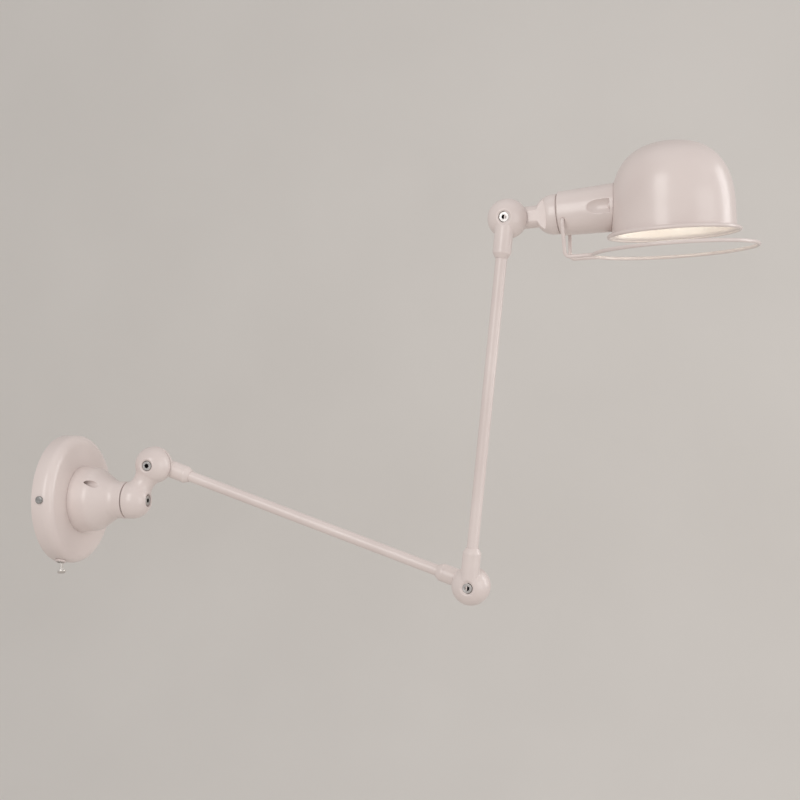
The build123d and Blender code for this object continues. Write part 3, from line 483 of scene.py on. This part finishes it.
lower_arm = arm_frame(pivot["shoulder"], pivot["elbow"])
upper_arm = arm_frame(pivot["elbow"], pivot["wrist"])
far_end = Matrix.Translation((arm_length * mm, 0, 0)) @ Matrix.Rotation(pi, 4, "Y")
front_side = Matrix.Rotation(pi, 4, "X")
arm_end = ball((0, 0, 0), (0, 1, 0), half_gap)
join(arm_end, bar((0, stub_offset, 0), (stub_reach, stub_offset, 0), stub_radius), "UNION")
join(arm_end, pole((0, 0, 0), (0, 1, 0)), "DIFFERENCE")
join(arm_end, bar((tube_start, stub_offset, 0), (stub_reach + 2, stub_offset, 0), tube_seat), "DIFFERENCE")
cast(arm_end, 0.45, 5)
arm_ends = [
    ("shoulder_half_casting", "lower_arm", "shoulder_half", lower_arm),
    ("elbow_rear_casting", "lower_arm", "elbow_rear_half", lower_arm @ far_end),
    ("elbow_front_casting", "upper_arm", "elbow_front_half", upper_arm @ front_side),
    ("wrist_front_casting", "upper_arm", "wrist_front_half", upper_arm @ far_end @ front_side),
]
for name, body, node, seat in arm_ends:
    settle(put(duplicate(arm_end), seat), name, cast_enamel, body, node)
bpy.data.objects.remove(arm_end)

# The arms are drawn steel tubes, enamelled and fixed in the stubs of their end castings.
# A turned collar closes each stub and tapers down to the tube.
tube_enamel = enamel("enamel_on_tube", 450.0, 0.03, 0.30, 0.38)
tube_radius, tube_bore, tube_ease = 5.0, 4.0, 0.2
tube_end = arm_length - tube_start
tube = turned(
    [
        (tube_start, tube_bore),
        (tube_start, tube_radius - tube_ease),
        (tube_start + tube_ease, tube_radius),
        (tube_end - tube_ease, tube_radius),
        (tube_end, tube_radius - tube_ease),
        (tube_end, tube_bore),
        (tube_start, tube_bore),
    ],
    64,
)
collar_start, collar_shoulder, collar_end = 27.2, 30.3, 34.6
collar_swell, collar_lip = 8.06, 5.65
collar = turned(
    rounded(
        [
            (collar_start, tube_seat, 0),
            (collar_start, 7.9, 0),
            (27.5, stub_radius, 0),
            (stub_reach, collar_swell, 0),
            (collar_shoulder, stub_radius, 0.5),
            (collar_end, collar_lip, 0.3),
            (collar_end, tube_seat, 0),
            (collar_start, tube_seat, 0),
        ],
        5,
    ),
    72,
)
far_collar = put(duplicate(collar), far_end)
collar.select_set(True)
far_collar.select_set(True)
bpy.context.view_layer.objects.active = collar
bpy.ops.object.join()
stub_line = Matrix.Translation((0, stub_offset * mm, 0))
for piece in (tube, collar):
    smooth_edges(piece)
for arm, seat in (("lower", lower_arm @ stub_line), ("upper", upper_arm @ front_side @ stub_line)):
    for pattern, part in ((tube, "tube"), (collar, "collars")):
        piece = put(duplicate(pattern), seat)
        settle(piece, f"{arm}_arm_{part}", tube_enamel, f"{arm}_arm", f"{arm}_{part}")
bpy.data.objects.remove(tube)
bpy.data.objects.remove(collar)

# The head knuckle is one aluminium casting: the rear half of the wrist ball, a short neck and the dome that
# the head turns on. It is enamelled, and bored for the nipple that carries the lampholder.
head_way = Vector(next(joint["axis"] for joint in frame["joints"] if joint["name"] == "head_roll"))
head_line = pivot["wrist"] + Vector((0, stub_offset, 0))
head = Matrix.Translation(head_line * mm) @ Matrix.Rotation(atan2(-head_way.z, head_way.x), 4, "Y")
head_dome_middle, head_dome_face, head_neck, nipple_bore, nipple_bore_start = 39.4, 42.9, 9.6, 5.05, 27.9
head_knuckle = ball((head_dome_middle, 0, 0), (-1, 0, 0), 0)
join(head_knuckle, bar((head_dome_middle - 0.5, 0, 0), (head_dome_face, 0, 0), ball_radius, 96), "UNION")
join(head_knuckle, bar((0, 0, 0), (30, 0, 0), head_neck), "UNION")
join(head_knuckle, bar((0, half_gap - stub_offset, 0), (0, -30, 0), 2 * ball_radius, 128), "DIFFERENCE")
join(head_knuckle, ball((0, -stub_offset, 0), (0, 1, 0), half_gap), "UNION")
join(head_knuckle, pole((0, -stub_offset, 0), (0, 1, 0)), "DIFFERENCE")
join(head_knuckle, bar((nipple_bore_start, 0, 0), (45, 0, 0), nipple_bore), "DIFFERENCE")
put(cast(head_knuckle, 0.45, 5), head)
settle(head_knuckle, "head_knuckle_casting", cast_enamel, "head_knuckle", "head_knuckle")

# A hollow nipple of plated steel carries the lampholder through the head, held by a washer and a lock nut.
# The lampholder is glazed porcelain, and its threaded sleeve and centre contact are pressed from brass.
brass = plated_steel("brass", (0.56, 0.40, 0.16), (0.68, 0.50, 0.23), 0.22, 0.36)
porcelain = moulded("porcelain", (0.70, 0.68, 0.63), (0.76, 0.745, 0.70), 0.12, 0.22, 0.01)
dress(zinc, "lamp_nipple", "head_spring_washer", "head_lock_nut")
dress(porcelain, "lampholder")
dress(brass, "lampholder_sleeve", "lampholder_contact")

# The bulb is a small opal glass globe, blown in one with its stem, on a screw cap of nickel-plated brass.
# It is lit, and lights the shade from inside.
dress(nickel, "bulb_cap")
opal, nodes, links, shader, place = node_material("opal_glass")
veil = cloud(nodes, links, place, 90.0, 2.0)
glass = tone_between(nodes, links, veil, (0.90, 0.86, 0.78), (0.95, 0.92, 0.85))
glow = tone_between(nodes, links, veil, (0.88, 0.98, 0.86), (0.90, 1.0, 0.90))
links.new(glass, shader.inputs["Base Color"])
links.new(glow, shader.inputs["Emission Color"])
shader.inputs["Emission Strength"].default_value = 3.5
shader.inputs["Roughness"].default_value = 0.12
globe_centre, globe, globe_blend = 125.5, 22.5, radians(37)
stem_radius, stem_start, stem_end = 6.65, 90.0, 95.0
globe_joint = Vector((globe_centre - globe * cos(globe_blend), globe * sin(globe_blend)))
sweep = globe_joint - Vector((stem_end, stem_radius))
flare_radius = sweep.length_squared / (2 * sweep.y)
flare_turn = atan2(sweep.x, flare_radius - sweep.y)
flare_turns = [flare_turn * k / 10 for k in range(11)]
globe_turns = [globe_blend + (pi - globe_blend) * k / 36 for k in range(1, 36)]
bulb = turned(
    [(stem_start, 0), (stem_start, stem_radius)]
    + [(stem_end + flare_radius * sin(a), stem_radius + flare_radius * (1 - cos(a))) for a in flare_turns]
    + [(globe_centre - globe * cos(a), globe * sin(a)) for a in globe_turns]
    + [(globe_centre + globe, 0)],
    96,
)
smooth_edges(bulb)
settle(put(bulb, head), "opal_bulb", opal, "head_knuckle", "bulb_glass")

# The lamp housing is a tapered aluminium casting, enamelled, with its far end saddled to the shade.
# An open channel in each side ends in a wall, through which a screw holds the shade.
# The guard's hooked ends go into a small hole below each channel.
shade_reach, shade_radius, crown_round = 139.1, 51.3, 0.83
rim_level, top_level, wall_level, side_round = -29.0, 49.6, -8.4, 0.49
nod = radians(1.8)
upright = Matrix.Translation((shade_reach * mm, 0, 0)) @ Matrix.Rotation(nod - pi / 2, 4, "Y")


def dome_curve(growth, steps=44):
    """Half outline of the shade's dome, from its top to its straight wall, grown outwards by an allowance."""
    top, reach, ease = top_level + growth, shade_radius + growth, 0.55 * growth
    knots = [(top, 0), (top, crown_round * shade_radius + ease),
             (wall_level + side_round * (top_level - wall_level) + ease, reach), (wall_level, reach)]
    points = []
    for k in range(steps + 1):
        t = k / steps
        shares = ((1 - t) ** 3, 3 * t * (1 - t) ** 2, 3 * t**2 * (1 - t), t**3)
        points.append(tuple(sum(share * knot[i] for share, knot in zip(shares, knots)) for i in (0, 1)))
    return points


housing_face, housing_end, lamp_room_start, lamp_room = 44.1, 106.0, 48.1, 12.6
face_radius, saddle_radius, taper_end = 18.9, 20.5, 88.8
housing = turned(
    rounded(
        [
            (housing_face, nipple_bore, 0),
            (housing_face, face_radius, 0.3),
            (taper_end, saddle_radius, 0),
            (housing_end, saddle_radius, 0),
            (housing_end, lamp_room, 0),
            (lamp_room_start, lamp_room, 0),
            (lamp_room_start, nipple_bore, 0),
            (housing_face, nipple_bore, 0),
        ],
        6,
    ),
    112,
)
saddle_gap, saddle_foot = 0.05, -32.0
saddle = turned(
    dome_curve(saddle_gap)
    + [(saddle_foot, shade_radius + saddle_gap), (saddle_foot, 0), (top_level + saddle_gap, 0)]
)
join(housing, put(saddle, upright), "DIFFERENCE")
well_foot, well_turn, well_circle, well_radius, well_ease = 88.9, 79.0, 23.7, 7.4, 1.5
hook_reach, hook_level, hook_hole = 48.5, -7.4, 1.65
hook_hole_start, hook_hole_end = 10.0, 24.0
for side in (-1, 1):
    well_line = side * well_circle
    well = bar((well_turn, well_line, 0), (well_foot, well_line, 0), well_radius)
    bpy.ops.object.select_all(action="DESELECT")
    bpy.ops.mesh.primitive_uv_sphere_add(
        segments=64,
        ring_count=48,
        radius=well_radius * mm,
        location=Vector((well_turn, well_line, 0)) * mm,
        rotation=(0, pi / 2, 0),
        scale=(1, 1, well_ease),
    )
    bpy.ops.object.transform_apply(location=True, rotation=True, scale=True)
    join(well, keep_past(bpy.context.active_object, (well_foot, 0, 0), (-1, 0, 0)), "UNION")
    join(housing, well, "DIFFERENCE")
    hook_in = (hook_reach, side * hook_hole_start, hook_level)
    hook_out = (hook_reach, side * hook_hole_end, hook_level)
    join(housing, bar(hook_in, hook_out, hook_hole, 32), "DIFFERENCE")
cast(housing, 0.5, 4)
settle(put(housing, head), "housing_casting", cast_enamel, "head", "lamp_housing")

# The shade is spun from sheet in one piece: a dome on a short cylinder, flared out and rolled at its lip.
# It is enamelled inside and out. A cast ring inside it takes the housing's two screws, and they are
# enamelled over with the rest.
dress(cast_enamel, "shade_ring", "shade_screws")


def arc(centre, radius, start, end, steps):
    """Points along an arc, in degrees, in the (reach, radius) plane of a turned piece."""
    angles = [radians(start + (end - start) * k / steps) for k in range(steps + 1)]
    return [(centre[0] + radius * sin(a), centre[1] + radius * cos(a)) for a in angles]


def corner_angle(beside, other, opposite):
    """The angle between two sides of a triangle, in degrees."""
    return degrees(acos((beside**2 + other**2 - opposite**2) / (2 * beside * other)))


spun_wall, flare_bend, bead = 1.0, 2.8, 1.6
flare_back = flare_bend + spun_wall
bead_drop = spun_wall / 2 + flare_bend
bead_place = (rim_level + bead, shade_radius + flare_bend)
flare_place = (bead_place[0] + bead_drop, bead_place[1])
shade = turned(
    dome_curve(0)
    + arc(flare_place, flare_bend, 180, 270 - corner_angle(bead_drop, flare_bend, bead), 10)
    + arc(bead_place, bead, 90 + corner_angle(bead_drop, bead, flare_bend),
          corner_angle(bead_drop, bead, flare_back) - 270, 24)
    + arc(flare_place, flare_back, 270 - corner_angle(bead_drop, flare_back, bead), 180, 10)
    + dome_curve(-spun_wall)[::-1]
    + [(top_level, 0)],
    160,
)
put(shade, upright)
holder_hole, shade_screw_circle, shade_screw_hole = 14.5, 18.2, 1.3
drill_start, drill_end = 80.0, 112.0
join(shade, bar((drill_start, 0, 0), (drill_end, 0, 0), holder_hole), "DIFFERENCE")
for side in (-1, 1):
    screw_line = side * shade_screw_circle
    screw_in, screw_out = (drill_start, screw_line, 0), (drill_end, screw_line, 0)
    join(shade, bar(screw_in, screw_out, shade_screw_hole, 32), "DIFFERENCE")
smooth_edges(shade)
settle(put(shade, head), "shade_shell", sheet_enamel, "head", "shade")

# The guard is one bent wire: two hooked ends sprung into the housing, two legs, two runs and a ring under
# the lip. It is steel rod, enamelled, and can be swung down on its hooks.
wire_enamel = enamel("enamel_on_wire", 600.0, 0.02, 0.30, 0.38)


def push(step):
    """Carry the wire's end straight on."""
    bpy.ops.mesh.extrude_region_move(TRANSFORM_OT_translate={"value": step * mm})


def swing(centre, axis, turn, steps):
    """Carry the wire's end round a bend."""
    bpy.ops.mesh.spin(steps=steps, angle=-turn, center=centre * mm, axis=axis)


def bent_wire(corners, radius, sides=20):
    """Push a round wire along straight runs and round the bends between them: corners are (point, bend)."""
    points = [Vector(point) for point, _ in corners]
    way = (points[1] - points[0]).normalized()
    bpy.ops.object.select_all(action="DESELECT")
    bpy.ops.mesh.primitive_circle_add(
        vertices=sides,
        radius=radius * mm,
        fill_type="NGON",
        location=points[0] * mm,
        rotation=way.to_track_quat("Z", "Y").to_euler(),
    )
    bpy.ops.object.transform_apply(location=True, rotation=True, scale=True)
    bpy.ops.object.mode_set(mode="EDIT")
    bpy.ops.mesh.select_all(action="SELECT")
    here = points[0]
    for corner, after, (_, bend) in zip(points[1:], points[2:], corners[1:]):
        way = (corner - here).normalized()
        out = (after - corner).normalized()
        turn = acos(way.dot(out))
        start = corner - way * bend * sin(turn / 2) / cos(turn / 2)
        push(start - here)
        inward = (out - way * way.dot(out)).normalized()
        swing(start + inward * bend, way.cross(out), turn, 8)
        here = corner + out * bend * sin(turn / 2) / cos(turn / 2)
    push(points[-1] - here)
    return bpy.context.active_object


wire_radius, ring_radius, ring_bend, ring_level = 1.6, 68.0, 6.0, -38.5
hook_tip, leg_top, leg_bend, run_spread, foot_bend = 12.9, 21.2, 2.6, 13.5, 4.5
turn_y = run_spread + ring_bend
turn_x = shade_reach - sqrt((ring_radius + ring_bend) ** 2 - turn_y**2)
ring_turn = atan2(turn_y, shade_reach - turn_x)
guard = bent_wire(
    [
        ((hook_reach, hook_tip, hook_level), 0),
        ((hook_reach, leg_top, hook_level), leg_bend),
        ((hook_reach, run_spread, ring_level), foot_bend),
        ((turn_x, run_spread, ring_level), 0),
    ],
    wire_radius,
)
swing(Vector((turn_x, turn_y, ring_level)), (0, 0, 1), pi / 2 - ring_turn, 8)
swing(Vector((shade_reach, 0, ring_level)), (0, 0, -1), pi - ring_turn, 80)
bpy.ops.mesh.delete(type="ONLY_FACE")
bpy.ops.object.mode_set(mode="OBJECT")
other_side = guard.modifiers.new("other_side", "MIRROR")
other_side.use_axis = (False, True, False)
other_side.use_clip = True
other_side.merge_threshold = 0.01 * mm
take_hold(guard)
bpy.ops.object.modifier_apply(modifier=other_side.name)
bpy.ops.object.mode_set(mode="EDIT")
bpy.ops.mesh.select_all(action="SELECT")
bpy.ops.mesh.remove_doubles(threshold=0.02 * mm)
bpy.ops.mesh.normals_make_consistent(inside=False)
bpy.ops.object.mode_set(mode="OBJECT")
smooth_edges(guard)
hook = Matrix.Translation((hook_reach * mm, 0, hook_level * mm))
hang = hook @ Matrix.Rotation(nod, 4, "Y") @ hook.inverted()
settle(put(guard, head @ hang), "guard_wire", wire_enamel, "guard", "wire_guard")

# The stage is a sweep of pale paper, floor and backdrop in one, set low enough to clear every pose.
# Soft lamps light it from the front, the right and above, and the camera stands where the photograph's stood.
floor_level, floor_start, floor_end, sweep_bend, sweep_top = -0.9, -2.2, 0.9, 0.7, 2.4
sweep_left, sweep_width = -2.4, 5.4
sweep_turns = [radians(a) for a in range(6, 91, 6)]
sweep_points = (
    [(floor_start, floor_level), (floor_end, floor_level)]
    + [(floor_end + sweep_bend * sin(a), floor_level + sweep_bend * (1 - cos(a))) for a in sweep_turns]
    + [(floor_end + sweep_bend, sweep_top)]
)
bpy.ops.object.select_all(action="DESELECT")
bpy.ops.mesh.primitive_plane_add(size=mm)
floor = bpy.context.active_object
bpy.ops.object.mode_set(mode="EDIT")
bpy.ops.mesh.merge(type="CENTER")
bpy.ops.transform.translate(value=(sweep_left, floor_start, floor_level))
for here, there in zip(sweep_points, sweep_points[1:]):
    step = (0, there[0] - here[0], there[1] - here[1])
    bpy.ops.mesh.extrude_vertices_move(TRANSFORM_OT_translate={"value": step})
bpy.ops.mesh.select_all(action="SELECT")
bpy.ops.mesh.extrude_region_move(TRANSFORM_OT_translate={"value": (sweep_width, 0, 0)})
bpy.ops.mesh.select_all(action="SELECT")
bpy.ops.mesh.normals_make_consistent(inside=True)
bpy.ops.object.mode_set(mode="OBJECT")
bpy.ops.object.shade_smooth()
floor.name = "pale_sweep"
paper, nodes, links, shader, place = node_material("pale_paper")
fibre = cloud(nodes, links, place, 3.0, 2.0)
paper_tone = tone_between(nodes, links, fibre, (0.75, 0.72, 0.69), (0.77, 0.74, 0.71))
links.new(paper_tone, shader.inputs["Base Color"])
shader.inputs["Roughness"].default_value = 0.9
floor.data.materials.append(paper)

world = bpy.data.worlds.new("studio")
bpy.context.scene.world = world
world.use_nodes = True
world.node_tree.nodes["Background"].inputs["Color"].default_value = (1.0, 0.98, 0.96, 1)
world.node_tree.nodes["Background"].inputs["Strength"].default_value = 0.56


def soft_lamp(name, place, aim, width, height, power, colour):
    """A soft box that points at a place."""
    lamp = bpy.data.lights.new(name, "AREA")
    lamp.shape = "RECTANGLE"
    lamp.size = width
    lamp.size_y = height
    lamp.energy = power
    lamp.color = colour
    stand = bpy.data.objects.new(name, lamp)
    stand.location = place
    stand.rotation_euler = (Vector(aim) - Vector(place)).to_track_quat("-Z", "Y").to_euler()
    bpy.context.scene.collection.objects.link(stand)


soft_lamp("key", (0.0, -1.75, 0.75), (0.3, 0, 0.05), 0.75, 1.5, 11.5, (1.0, 0.98, 0.96))
soft_lamp("side", (1.9, -0.6, 0.15), (0.4, 0, 0.05), 0.9, 1.2, 4.5, (1.0, 0.98, 0.97))
soft_lamp("edge", (1.7, 0.6, 0.4), (0.4, 0, 0.1), 0.5, 1.2, 5.5, (1.0, 0.99, 0.98))
soft_lamp("top", (0.3, -0.1, 1.6), (0.3, 0, 0), 1.4, 0.9, 1.0, (1.0, 0.99, 0.98))

eye = bpy.data.cameras.new("eye")
eye.sensor_width = 36.0
focal_pixels, picture_pixels = 1326.67, 800
eye.lens = focal_pixels / picture_pixels * eye.sensor_width
camera = bpy.data.objects.new("eye", eye)
bpy.context.scene.collection.objects.link(camera)
eye_turn, eye_tip, eye_roll = radians(16.28), radians(90 - 1.39), radians(-0.39)
camera.matrix_world = (
    Matrix.Translation((0.65664, -1.11551, 0.12177))
    @ Matrix.Rotation(eye_turn, 4, "Z")
    @ Matrix.Rotation(eye_tip, 4, "X")
    @ Matrix.Rotation(eye_roll, 4, "Z")
)
bpy.context.scene.camera = camera
bpy.context.scene.view_settings.view_transform = "Standard"
